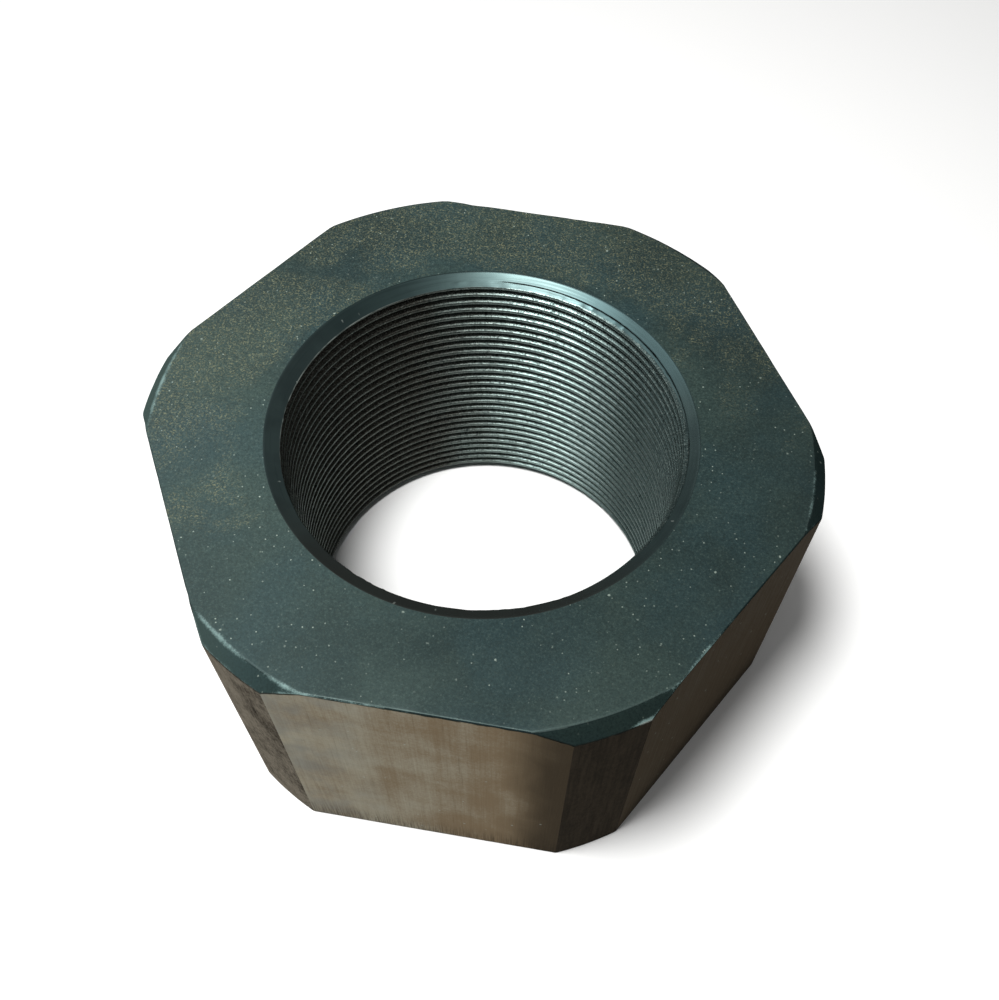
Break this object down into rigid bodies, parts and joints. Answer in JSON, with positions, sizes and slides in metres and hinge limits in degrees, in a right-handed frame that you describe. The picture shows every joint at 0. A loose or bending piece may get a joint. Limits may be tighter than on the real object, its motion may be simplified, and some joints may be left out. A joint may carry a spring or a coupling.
{
  "type": "hex nut",
  "caption": "Large hexagon nut with a right-hand fine metric thread, turned corners, one chamfered face and a countersink at each end of the thread.",
  "frame": {"origin": "centre of the bearing face, on the thread axis", "axes": "+Z along the thread axis, from the square-edged bearing face to the chamfered face; flats face -Y and +Y, corners point along -X and +X"},
  "size_m": [0.093, 0.085, 0.045],
  "materials": {
    "blackened_steel": "blackened, with worn edges"
  },
  "bodies": {
    "root": {"nut_body": "blackened_steel"}
  },
  "joints": []
}
